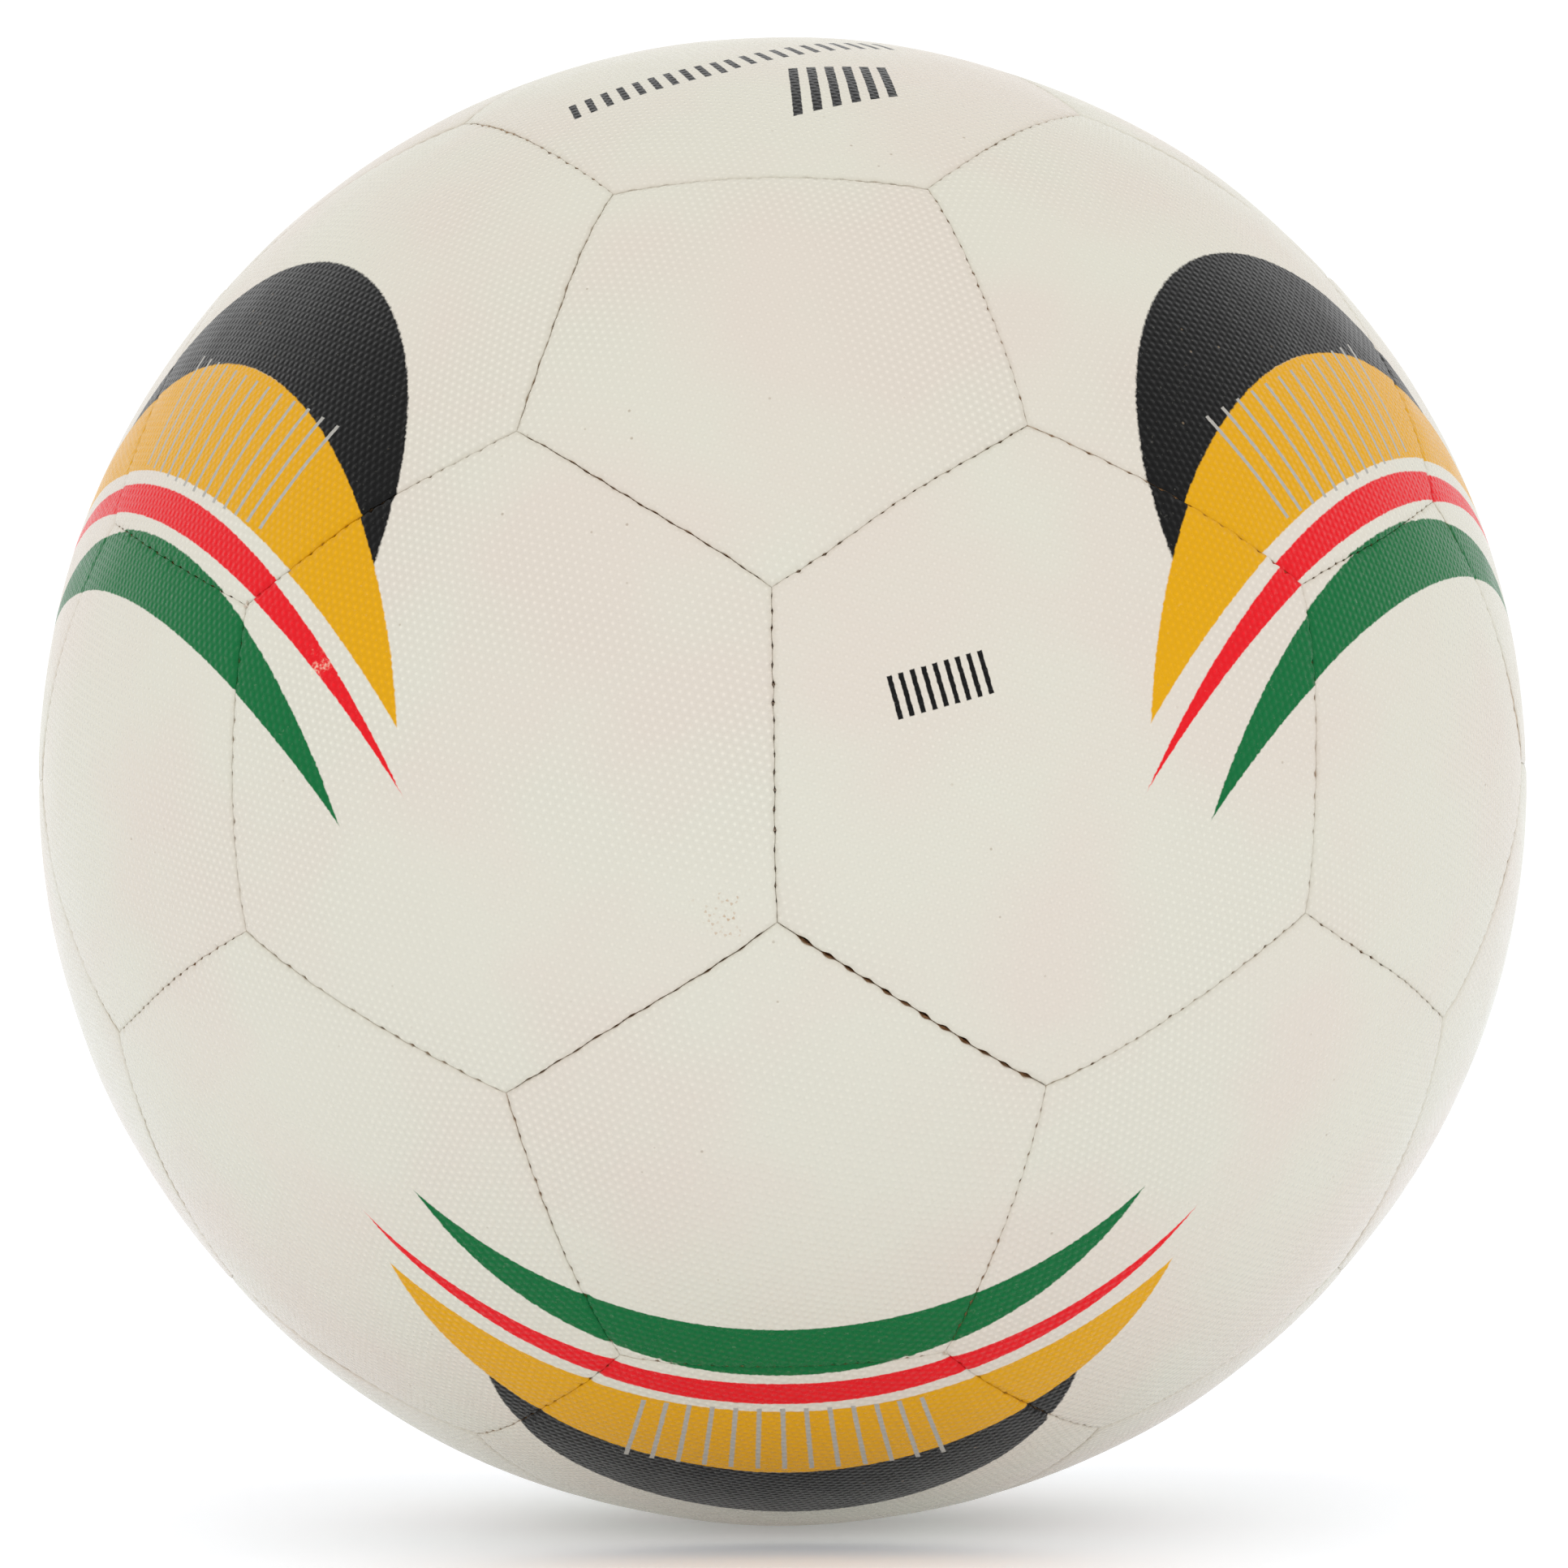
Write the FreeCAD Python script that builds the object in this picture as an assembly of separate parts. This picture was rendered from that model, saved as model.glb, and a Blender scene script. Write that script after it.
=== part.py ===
import FreeCAD, Part
import os
from math import asin, atan2, cos, degrees, pi, radians, sin, sqrt

# Size 5 soccer ball. 20 hexagons and 12 pentagons of coated sheet, each on its
# own foam pad and woven lining, are sewn edge to edge over a rubber bladder.
# Millimetres, +Z up, origin at the centre of the ball. The X, Y and Z axes each
# leave the ball through the middle of a seam between two hexagons.

Vector = FreeCAD.Vector
ORIGIN = Vector(0, 0, 0)
GOLDEN = (1 + sqrt(5)) / 2

# The casing, from the outside in. Radii are from the centre of the ball.
BALL_RADIUS = 110.0            # over the middle of a panel
COVER = 0.9                    # coated sheet
FOAM = 2.3                     # at the middle of a panel; thinner at the seams
LINING = 1.6                   # laminated woven layers
CASING_INSIDE = BALL_RADIUS - COVER - FOAM - LINING
FOAM_INSIDE = CASING_INSIDE + LINING

# Each panel bulges: its outer face is a sphere centred this far out on its axis.
# The two bulges bring hexagons and pentagons to the same height at their seams.
HEXAGON_BULGE = 2.3
PENTAGON_BULGE = 3.7
SHOULDER = 1.4                 # rounding where a panel turns down into a seam
SEAM_GAP = 0.3                 # between the turned-in edges of two panels

# One line of waxed thread lies in every seam, in grooves in the turned-in edges.
THREAD_RADIUS = 0.45
THREAD_CLEARANCE = 0.05
THREAD_DEPTH = 3.4             # under the nominal surface
THREAD_END_GAP = 1.0           # short of each point where three seams meet

# The bladder, and the valve that is bonded to it.
BLADDER_GAP = 0.05             # between the bladder and the linings
BLADDER_WALL = 0.9
BLADDER_OUTSIDE = CASING_INSIDE - BLADDER_GAP
BLADDER_INSIDE = BLADDER_OUTSIDE - BLADDER_WALL

VALVE_AXIS = Vector(1 - GOLDEN, GOLDEN, 0)   # nearest hexagon is found from this
VALVE_HOLE_RADIUS = 3.6        # through cover, foam, patch and lining
NECK_RADIUS = 3.4
NECK_TOP = 109.2
FLANGE_RADIUS = 14.0
FLANGE_THICKNESS = 1.2
BARREL_RADIUS = 5.4
BARREL_BOTTOM = 88.0
POCKET_RADIUS = 3.3            # wide lower part of the hole for the plug
POCKET_TOP = 101.0
POCKET_BOTTOM = 90.0
THROAT_RADIUS = 2.2            # narrow upper part, which keeps the plug in
PLUG_SLACK = 0.05              # between the plug and the valve body, all round
PLUG_TOP = 108.9
NEEDLE_RADIUS = 1.1
NEEDLE_BOTTOM = 97.0           # the plug is a closed slit below this
FUNNEL_RADIUS = 1.7
FUNNEL_DEPTH = 0.7
OUTLET_RADIUS = 1.0            # from the bottom of the pocket into the bladder

PATCH_RADIUS = 12.0
PATCH_THICKNESS = 0.7

FAR = 140.0                    # beyond the outside of everything
PAST = 1.0                     # how far a cutting shape runs past what it cuts
TIP_SPACING = 2.0              # between neighbouring corners of the icosahedron
SMALL = 0.01
SMALL_ANGLE = radians(5)


# Directions of the panels and seams.

def unit(vector):
    return Vector(vector) * (1 / vector.Length)


def icosahedron_tips():
    """The twelve corners of an icosahedron, TIP_SPACING apart."""
    tips = []
    for short in (1, -1):
        for long in (GOLDEN, -GOLDEN):
            tips.append(Vector(0, long, short))
            tips.append(Vector(short, 0, long))
            tips.append(Vector(long, short, 0))
    return tips


def are_neighbours(tip, other):
    return abs((tip - other).Length - TIP_SPACING) < SMALL


def neighbours(tip, tips):
    return [other for other in tips if are_neighbours(tip, other)]


def corner_near(tip, other):
    """The panel corner a third of the way along the edge from tip to other."""
    return unit(tip * 2 + other)


def top_to_bottom(panel):
    axis = panel[0]
    return (-round(axis.z, 4), round(atan2(axis.y, axis.x), 4))


def pentagons(tips):
    """The axis and one corner of each pentagon."""
    panels = []
    for tip in tips:
        panels.append((unit(tip), corner_near(tip, neighbours(tip, tips)[0])))
    return sorted(panels, key=top_to_bottom)


def hexagons(tips):
    """The axis and one corner of each hexagon, one for each face."""
    panels = []
    for i, a in enumerate(tips):
        for j, b in enumerate(tips[:i]):
            for c in tips[:j]:
                if are_neighbours(a, b) and are_neighbours(b, c) and are_neighbours(c, a):
                    panels.append((unit(a + b + c), corner_near(a, b)))
    return sorted(panels, key=top_to_bottom)


def hexagon_seams(tips):
    """The two ends of each seam between two hexagons."""
    seams = []
    for i, a in enumerate(tips):
        for b in neighbours(a, tips[:i]):
            seams.append((corner_near(a, b), corner_near(b, a)))
    return seams


def pentagon_seams(tips):
    """The two ends of each seam between a pentagon and a hexagon."""
    seams = []
    for a in tips:
        around = neighbours(a, tips)
        for i, b in enumerate(around):
            for c in neighbours(b, around[:i]):
                seams.append((corner_near(a, b), corner_near(a, c)))
    return seams


# Shapes around +Z, which are then turned into place.

def ball(radius, height=0.0):
    """A solid ball centred on +Z, with its poles and join away from +Z."""
    sphere = Part.makeSphere(radius)
    sphere.rotate(ORIGIN, Vector(0, 1, 0), 90)
    sphere.translate(Vector(0, 0, height))
    return sphere


def corner_directions(sides, corner_angle):
    """Corners of a regular panel around +Z, the first above the X axis."""
    corners = []
    for k in range(sides):
        turn = 2 * pi * k / sides
        across = sin(corner_angle)
        corners.append(Vector(across * cos(turn), across * sin(turn), cos(corner_angle)))
    return corners


def wedge(corners, inset):
    """A pyramid from near the centre, its sides set in from the seam planes."""
    middle = corners[0] + corners[1]
    side_angle = asin(sqrt(middle.x ** 2 + middle.y ** 2) / middle.Length)
    apex = Vector(0, 0, inset / sin(side_angle))
    rim = [apex + corner * (FAR / corner.z) for corner in corners]
    faces = [Part.Face(Part.makePolygon(rim + rim[:1]))]
    for k, point in enumerate(rim):
        faces.append(Part.Face(Part.makePolygon([apex, rim[k - 1], point, apex])))
    return Part.makeSolid(Part.makeShell(faces))


def rounded_block(corners, inset, bulge, depth, rounding):
    """The wedge under a bulged top at a depth below the surface, edge rounded."""
    top = ball(BALL_RADIUS - bulge - depth, bulge)
    block = wedge(corners, inset).common(top)
    curved = [face for face in block.Faces if isinstance(face.Surface, Part.Sphere)]
    return block.makeFillet(rounding, curved[0].Edges)


def thread_groove(start, end):
    across = start.cross(end)
    return Part.makeTorus(thread_line_radius(), THREAD_RADIUS + THREAD_CLEARANCE, ORIGIN, across)


def thread_line_radius():
    return BALL_RADIUS - THREAD_DEPTH


def panel_layers(sides, corner_angle, bulge):
    """Cover, foam pad and lining of one panel around +Z."""
    corners = corner_directions(sides, corner_angle)
    outside = rounded_block(corners, SEAM_GAP / 2, bulge, 0, SHOULDER)
    inside = rounded_block(corners, SEAM_GAP / 2 + COVER, bulge, COVER, SHOULDER - COVER)
    cover = outside.cut(inside).cut(ball(CASING_INSIDE))
    for k, corner in enumerate(corners):
        cover = cover.cut(thread_groove(corners[k - 1], corner))
    foam = inside.cut(ball(FOAM_INSIDE))
    lining = inside.common(ball(FOAM_INSIDE)).cut(ball(CASING_INSIDE))
    return cover, foam, lining


def seam_thread(start, end):
    """One line of thread along a seam, between two points where seams meet."""
    across = start.cross(end)
    line_radius = thread_line_radius()
    trim = degrees(THREAD_END_GAP / line_radius)
    whole = degrees(start.getAngle(end))
    section = Part.makeCircle(THREAD_RADIUS, start * line_radius, across.cross(start))
    disc = Part.Face(Part.Wire(section))
    disc.rotate(ORIGIN, across, trim)
    return disc.revolve(ORIGIN, across, whole - 2 * trim)


# Valve parts, as turned sections: (distance from the axis, height) pairs.

def turned(section):
    points = [Vector(across, 0, height) for across, height in section]
    face = Part.Face(Part.makePolygon(points + points[:1]))
    return face.revolve(ORIGIN, Vector(0, 0, 1), 360)


def post(radius, low=0.0, high=FAR):
    return Part.makeCylinder(radius, high - low, Vector(0, 0, low))


def shell_disc(radius, outer, inner):
    """A round piece of a spherical shell around +Z."""
    return ball(outer).cut(ball(inner)).common(post(radius))


def valve_body():
    """Flange under the bladder wall, neck through the casing, barrel inside."""
    flange = shell_disc(FLANGE_RADIUS, BLADDER_INSIDE, BLADDER_INSIDE - FLANGE_THICKNESS)
    neck = post(NECK_RADIUS, BLADDER_INSIDE - FLANGE_THICKNESS / 2, NECK_TOP)
    barrel = post(BARREL_RADIUS, BARREL_BOTTOM, BLADDER_INSIDE - FLANGE_THICKNESS / 2)
    body = flange.fuse([neck, barrel]).removeSplitter()
    hole = turned([
        (0, BARREL_BOTTOM - PAST),
        (OUTLET_RADIUS, BARREL_BOTTOM - PAST),
        (OUTLET_RADIUS, POCKET_BOTTOM),
        (POCKET_RADIUS, POCKET_BOTTOM),
        (POCKET_RADIUS, POCKET_TOP),
        (THROAT_RADIUS, POCKET_TOP + POCKET_RADIUS - THROAT_RADIUS),
        (THROAT_RADIUS, NECK_TOP + PAST),
        (0, NECK_TOP + PAST),
    ])
    return body.cut(hole)


def valve_plug():
    """The plug that closes round a pump needle: wide foot, narrow neck."""
    foot = POCKET_RADIUS - PLUG_SLACK
    throat = THROAT_RADIUS - PLUG_SLACK
    return turned([
        (0, POCKET_BOTTOM + PLUG_SLACK),
        (foot, POCKET_BOTTOM + PLUG_SLACK),
        (foot, POCKET_TOP - PLUG_SLACK),
        (throat, POCKET_TOP - PLUG_SLACK + POCKET_RADIUS - THROAT_RADIUS),
        (throat, PLUG_TOP),
        (FUNNEL_RADIUS, PLUG_TOP),
        (NEEDLE_RADIUS, PLUG_TOP - FUNNEL_DEPTH),
        (NEEDLE_RADIUS, NEEDLE_BOTTOM),
        (0, NEEDLE_BOTTOM),
    ])


def backing_patch():
    """A ring glued inside the lining round the valve hole."""
    disc = shell_disc(PATCH_RADIUS, CASING_INSIDE + PATCH_THICKNESS, CASING_INSIDE)
    return disc.cut(post(VALVE_HOLE_RADIUS))


def bladder(axis):
    hollow = ball(BLADDER_OUTSIDE).cut(ball(BLADDER_INSIDE)).cut(post(NECK_RADIUS))
    return placed(hollow, axis, Vector(0, 0, 1))


# Placing and writing.

def placed(shape, axis, toward):
    """The shape with its +Z turned to the axis and its +X turned toward a point."""
    side = unit(axis.cross(toward))
    turn = FreeCAD.Rotation(side.cross(axis), side, axis, "ZXY")
    copy = shape.copy()
    copy.Placement = FreeCAD.Placement(ORIGIN, turn).multiply(copy.Placement)
    return copy


def write(node, solids):
    shape = solids[0] if len(solids) == 1 else Part.makeCompound(solids)
    shape.exportStep("parts/" + node + ".step")


def write_panels(name, panels, layers, valve_layers):
    """Every cover in a node of its own; foam pads and linings as two groups."""
    foams = []
    linings = []
    for number, (axis, corner) in enumerate(panels, start=1):
        has_valve = axis.getAngle(VALVE_AXIS) < SMALL_ANGLE
        cover, foam, lining = valve_layers if has_valve else layers
        write("%s_panel_%02d" % (name, number), [placed(cover, axis, corner)])
        foams.append(placed(foam, axis, corner))
        linings.append(placed(lining, axis, corner))
    write(name + "_foam_pads", foams)
    write(name + "_fabric_linings", linings)


def with_valve_hole(layers):
    hole = post(VALVE_HOLE_RADIUS)
    cover, foam, lining = [layer.cut(hole) for layer in layers]
    return cover, foam, lining.cut(backing_patch())


def main():
    os.makedirs("parts", exist_ok=True)
    tips = icosahedron_tips()
    hexagon_list = hexagons(tips)
    pentagon_list = pentagons(tips)

    axis, corner = hexagon_list[0]
    hexagon_layers = panel_layers(6, axis.getAngle(corner), HEXAGON_BULGE)
    write_panels("hex", hexagon_list, hexagon_layers, with_valve_hole(hexagon_layers))

    axis, corner = pentagon_list[0]
    pentagon_layers = panel_layers(5, axis.getAngle(corner), PENTAGON_BULGE)
    write_panels("pent", pentagon_list, pentagon_layers, pentagon_layers)

    write("hex_seam_threads", [seam_thread(*ends) for ends in hexagon_seams(tips)])
    write("pent_seam_threads", [seam_thread(*ends) for ends in pentagon_seams(tips)])

    valve_axis = min((axis for axis, corner in hexagon_list), key=VALVE_AXIS.getAngle)
    up = Vector(0, 0, 1)
    write("bladder", [bladder(valve_axis)])
    write("valve_body", [placed(valve_body(), valve_axis, up)])
    write("valve_plug", [placed(valve_plug(), valve_axis, up)])
    write("valve_backing_patch", [placed(backing_patch(), valve_axis, up)])


main()
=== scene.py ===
from math import cos, pi, radians, sin, sqrt

import bpy
import numpy as np
from mathutils import Matrix, Vector
from mathutils.geometry import delaunay_2d_cdt


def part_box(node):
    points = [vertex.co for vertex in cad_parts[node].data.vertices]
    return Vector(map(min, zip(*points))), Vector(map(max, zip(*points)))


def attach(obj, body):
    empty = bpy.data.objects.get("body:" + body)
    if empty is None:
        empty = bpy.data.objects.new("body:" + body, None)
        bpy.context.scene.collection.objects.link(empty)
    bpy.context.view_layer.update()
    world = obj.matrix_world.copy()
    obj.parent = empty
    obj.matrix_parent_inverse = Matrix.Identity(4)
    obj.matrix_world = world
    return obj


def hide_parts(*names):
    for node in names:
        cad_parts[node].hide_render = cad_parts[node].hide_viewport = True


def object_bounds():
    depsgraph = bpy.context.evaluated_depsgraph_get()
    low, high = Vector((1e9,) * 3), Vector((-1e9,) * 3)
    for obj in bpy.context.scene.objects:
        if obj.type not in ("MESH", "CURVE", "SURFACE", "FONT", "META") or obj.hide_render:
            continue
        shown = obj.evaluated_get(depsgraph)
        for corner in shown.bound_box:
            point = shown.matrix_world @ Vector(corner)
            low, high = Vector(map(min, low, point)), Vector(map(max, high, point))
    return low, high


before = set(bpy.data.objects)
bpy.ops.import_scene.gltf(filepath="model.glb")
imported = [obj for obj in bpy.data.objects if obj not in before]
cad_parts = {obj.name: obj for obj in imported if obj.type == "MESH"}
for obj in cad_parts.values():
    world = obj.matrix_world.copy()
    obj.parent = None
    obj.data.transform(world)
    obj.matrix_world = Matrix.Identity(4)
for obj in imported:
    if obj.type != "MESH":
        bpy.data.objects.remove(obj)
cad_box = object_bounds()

# A sewn soccer ball: 32 printed covers, the thread in every seam and a needle valve.
# Lengths are in millimetres until a mesh is made.

MM = 0.001
GOLDEN = (1 + sqrt(5)) / 2
SEED = 32
MIDDLE_RADIUS = 110.0                   # of the ball over the middle of a panel
BULGE = {6: 2.3, 5: 3.7}                # how much smaller each panel's own curve is
SEAM_RADIUS = 109.83

# Seams.
SAMPLES = 8                             # along each stitch
SHOULDER_WIDTH = 1.2                    # where a cover rounds down into a seam
SHOULDER_DEPTH = 0.26
SHOULDER_STEPS = (1.2, 0.9, 0.62, 0.38, 0.19, 0.07, 0.0)
WALL_STEPS = (0.25, 0.6, 1.2, 3.2)      # below the shoulder
COVER = 0.9                             # thickness
PUCKER = 0.12                           # how much deeper the edge is at a stitch
PUCKER_SPREAD = 0.24                    # of a stitch's length
HOLE_GAP = 0.17                         # half the width of a stitch hole
HOLE_SPREAD = 0.13                      # of a stitch's length
SHUT_GAP = 0.004                        # half the width of a seam that is pulled shut
LOOSE_GAP = 0.12                        # the same between the stitches of a loose seam
OPENED_GAP = 0.33                       # and of the one that has opened
CORNER_DIMPLE = 0.16                    # how much deeper the cover is where seams meet
DIMPLE_REACH = 2.0                      # along the seam
BEND_REACH = 2.4                        # how far into a cover its edge's bends are felt
OPEN_DEPTH = 0.9                        # a seam's openings close up below this
LOOSE_SHARE = 0.1                       # of the seams are loose
TIGHT_STITCHES = (17, 23)               # fewest and most along a seam
LOOSE_STITCHES = (15, 18)
OPENED_STITCHES = 13

# Thread.
THREAD_RADIUS = 0.26
THREAD_SWING = 1.1                      # how far each strand goes to either side
THREAD_DROP = 1.0                       # below the shoulder
KNOT_THREAD_RADIUS = 0.13
KNOT_LOOPS = 4

VALVE_HOLE = 3.6
HOLE_SIDES = 56
GRID_STEP = 2.3                         # between the points in the middle of a cover
GRID_MARGIN = 8.3                       # from the seams to where that grid starts
LATTICE_PITCH = 1.25                    # of the raised grain
DEGREE = radians(1) * MIDDLE_RADIUS     # length of one degree on the ball
EDGE_SHARPNESS = 9.0                    # of the print, for each millimetre across an edge

# Print colours.
WHITE = (0.640, 0.618, 0.530)
WARM_WHITE = (0.650, 0.592, 0.516)
BLACK = (0.002, 0.002, 0.002)
YELLOW = (0.665, 0.330, 0.0)
GREEN = (0.0, 0.128, 0.032)
RED = (0.70, 0.005, 0.011)
GREY = (0.38, 0.365, 0.33)


def unit(v):
    return v / np.linalg.norm(v, axis=-1, keepdims=True)


# ---------------------------------------------------------------- the ball's pattern

def icosahedron():
    tips = []
    for a in (1, -1):
        for b in (GOLDEN, -GOLDEN):
            tips += [(0, b, a), (a, 0, b), (b, a, 0)]
    return np.array(tips)


TIPS = icosahedron()
NEAR = [[j for j in range(12) if 0 < np.linalg.norm(TIPS[i] - TIPS[j]) < 2.1] for i in range(12)]


def corner_direction(key):
    near, far = key
    return unit((2 * TIPS[near] + TIPS[far]) / 3)


def panel(axis, keys):
    """A panel's middle, two directions square to it and its corners in order."""
    helper = np.array([0.0, 0.0, 1.0]) if abs(axis[2]) < 0.9 else np.array([0.0, 1.0, 0.0])
    right = unit(np.cross(helper, axis))
    up = np.cross(axis, right)
    around = [np.arctan2(corner_direction(k) @ up, corner_direction(k) @ right) for k in keys]
    ordered = [keys[i] for i in np.argsort(around)]
    return {"axis": axis, "right": right, "up": up, "corners": ordered}


def all_panels():
    panels = []
    for i in range(12):
        panels.append(panel(unit(TIPS[i]), [(i, j) for j in NEAR[i]]))
        for j in NEAR[i]:
            for k in NEAR[j]:
                if i < j < k and k in NEAR[i]:
                    keys = [(i, j), (j, i), (j, k), (k, j), (k, i), (i, k)]
                    panels.append(panel(unit(TIPS[i] + TIPS[j] + TIPS[k]), keys))
    return panels


def seam_key(a, b):
    return (min(a, b), max(a, b))


# ---------------------------------------------------------------- seams

# Corners are named by the two tips that they lie between, the nearer one first, so the first
# tip names the pentagon. Sewing has drawn these pentagons aside, in millimetres to the right and up.
DRAWN_ASIDE = {3: (0.0, -2.0), 8: (-1.0, 1.0)}
SMALL_PENTAGON = 3
SMALL_SHARE = 0.95                      # of its proper size
CORNER_JITTER = 0.3
OPENED_SEAM = seam_key((9, 3), (9, 8))
KNOTS = ((9, 4), (11, 3))               # corners where a tied-off end shows


def sewn_corner(key):
    """The direction of a corner after sewing, which moves its pentagon and then the corner a little."""
    rng = np.random.default_rng([SEED, 1, key[0], key[1]])
    middle = unit(TIPS[key[0]])
    right = unit(np.cross([0.0, 0.0, 1.0], middle))
    across, along = DRAWN_ASIDE.get(key[0], (0.0, 0.0))
    size = SMALL_SHARE if key[0] == SMALL_PENTAGON else 1.0
    placed = middle + (corner_direction(key) - middle) * size
    moved = right * across + np.cross(middle, right) * along + rng.normal(0, CORNER_JITTER, 3)
    return unit(placed + moved / SEAM_RADIUS)


def stitch_count(rng, key, loose):
    if key == OPENED_SEAM:
        return OPENED_STITCHES
    fewest, most = LOOSE_STITCHES if loose else TIGHT_STITCHES
    return int(rng.integers(fewest, most + 1))


def make_seam(key):
    """What both panels beside a seam share, sampled along it from its first corner to its second."""
    rng = np.random.default_rng([SEED, 2, *key[0], *key[1]])
    loose = key == OPENED_SEAM or rng.random() < LOOSE_SHARE
    stitches = stitch_count(rng, key, loose)
    count = stitches * SAMPLES
    s = np.linspace(0, 1, count + 1)
    drift = rng.normal(0, 0.18, 4)
    turns = s * stitches + sum(drift[i] * np.sin(pi * (i + 1) * s) for i in range(4))
    phase = turns - np.floor(turns)
    pulls = rng.normal(0.95, 0.12, stitches + 1) if loose else rng.normal(0.8, 0.35, stitches + 1)
    strength = np.interp(s, np.linspace(0, 1, stitches + 1), np.clip(pulls, 0.1, 1.4))
    ends = np.clip(s * (1 - s) * 14, 0, 1)              # nothing opens or bends at a corner
    hole = np.exp(-((phase - 0.5) / HOLE_SPREAD) ** 2) * strength
    between = np.sin(pi * (phase + 0.5)) ** 2 * strength
    gap = SHUT_GAP + HOLE_GAP * hole * (0.35 if loose else 1)
    if loose:
        gap = gap + (OPENED_GAP if key == OPENED_SEAM else LOOSE_GAP) * between ** 1.4
    wander = 0.06 * np.sin(pi * turns + rng.uniform(0, pi)) * strength
    wander += sum(rng.normal(0, 0.1) * np.sin(pi * (i + 1) * s) for i in range(3))
    dent = np.exp(-((phase - 0.5) / PUCKER_SPREAD) ** 2) * strength * PUCKER
    depth = 1.0 if loose else rng.uniform(0.45, 1.0)
    tight = depth * (1 + 0.12 * np.interp(s, np.linspace(0, 1, 5), rng.normal(0, 1, 5)))
    first, last = sewn_corner(key[0]), sewn_corner(key[1])
    return {"s": s, "stitches": stitches, "gap": gap * ends, "wander": wander * ends,
            "dent": dent * ends, "tight": tight, "turns": turns,
            "side": unit(np.cross(first, last)), "first": first, "last": last}


def line_between(seam, s):
    """Points along a seam, as directions."""
    return unit(seam["first"] + (seam["last"] - seam["first"]) * s[:, None])


# ---------------------------------------------------------------- cover meshes

def outline(face, seams):
    """The edge of a panel, sample by sample, with each sample's share of its seams' values."""
    names = ("gap", "wander", "dent", "tight")
    rows = {n: [] for n in ("dir", "side", "end") + names}
    corners = face["corners"]
    for a, b in zip(corners, corners[1:] + corners[:1]):
        seam = seams[seam_key(a, b)]
        forward = a < b
        pick = slice(0, -1) if forward else slice(-1, 0, -1)
        s = seam["s"][pick]
        sign = 1.0 if seam["side"] @ face["axis"] > 0 else -1.0
        rows["dir"].append(line_between(seam, s))
        rows["side"].append(np.tile(seam["side"], (len(s), 1)))
        length = np.linalg.norm(seam["last"] - seam["first"]) * SEAM_RADIUS
        rows["end"].append(np.minimum(s, 1 - s) * length)
        rows["gap"].append(seam["gap"][pick] * sign)
        for n in names[1:]:
            rows[n].append(seam[n][pick])
    return {n: np.concatenate(v) for n, v in rows.items()}


def surface_radius(directions, face):
    """Distance from the ball's centre to the panel's own curve."""
    bulge = BULGE[len(face["corners"])]
    curve = MIDDLE_RADIUS - bulge
    c = directions @ face["axis"]
    return bulge * c + np.sqrt(curve ** 2 - bulge ** 2 * (1 - c ** 2))


def unevenness(plane, seed):
    """A little rise and fall, as a cover has over foam and cloth."""
    rng = np.random.default_rng([SEED, 3, seed])
    rise = np.zeros(len(plane))
    for wave in (6, 9, 14, 21):
        lean = rng.uniform(0, 2 * pi)
        way = np.array([cos(lean), sin(lean)])
        rise += 0.35 / wave * np.sin(plane @ way * wave * 2.2 + rng.uniform(0, 2 * pi))
    return rise


def to_plane(directions, face):
    depth = directions @ face["axis"]
    return np.stack([directions @ face["right"], directions @ face["up"]], axis=1) / depth[:, None]


def from_plane(plane, face):
    return unit(face["axis"] + plane[:, :1] * face["right"] + plane[:, 1:] * face["up"])


def shoulder(t):
    return SHOULDER_DEPTH * (1 - sqrt(1 - (1 - t / SHOULDER_WIDTH) ** 2))


def steps():
    """Each ring's distance in from the seam and depth, from the face round the edge to the back."""
    rings = [(t, shoulder(t)) for t in SHOULDER_STEPS]
    rings += [(0.0, SHOULDER_DEPTH + d) for d in WALL_STEPS]
    rings.append((COVER, rings[-1][1]))
    rings.append((COVER, SHOULDER_DEPTH + COVER))
    rings.append((SHOULDER_STEPS[0], COVER))
    return rings


def lattice_points(edge, inradius, per_mm, hole):
    """Points for the middle of a panel, closer together near its seams."""
    points = []
    for t, every in ((2.8, 2), (4.2, 4), (6.4, 8)):
        points.append(edge[::every] * (1 - t * per_mm / inradius))
    limit = 1 - GRID_MARGIN * per_mm / inradius
    step = GRID_STEP * per_mm
    reach = int(1.3 * inradius / step)
    corners = edge * limit
    rows = [(step * (i + j / 2), step * j * sqrt(3) / 2)
            for i in range(-2 * reach, 2 * reach) for j in range(-reach, reach)]
    grid = np.array(rows)
    angle = np.arctan2(grid[:, 1], grid[:, 0])
    around = np.unwrap(np.arctan2(corners[:, 1], corners[:, 0]))
    order = np.argsort(np.mod(around, 2 * pi))
    reach_at = np.interp(np.mod(angle, 2 * pi), np.mod(around, 2 * pi)[order],
                         np.linalg.norm(corners, axis=1)[order], period=2 * pi)
    keep = np.linalg.norm(grid, axis=1) < reach_at
    if hole:
        keep &= np.linalg.norm(grid, axis=1) > hole * 1.35
    points.append(grid[keep])
    return np.concatenate(points)


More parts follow.
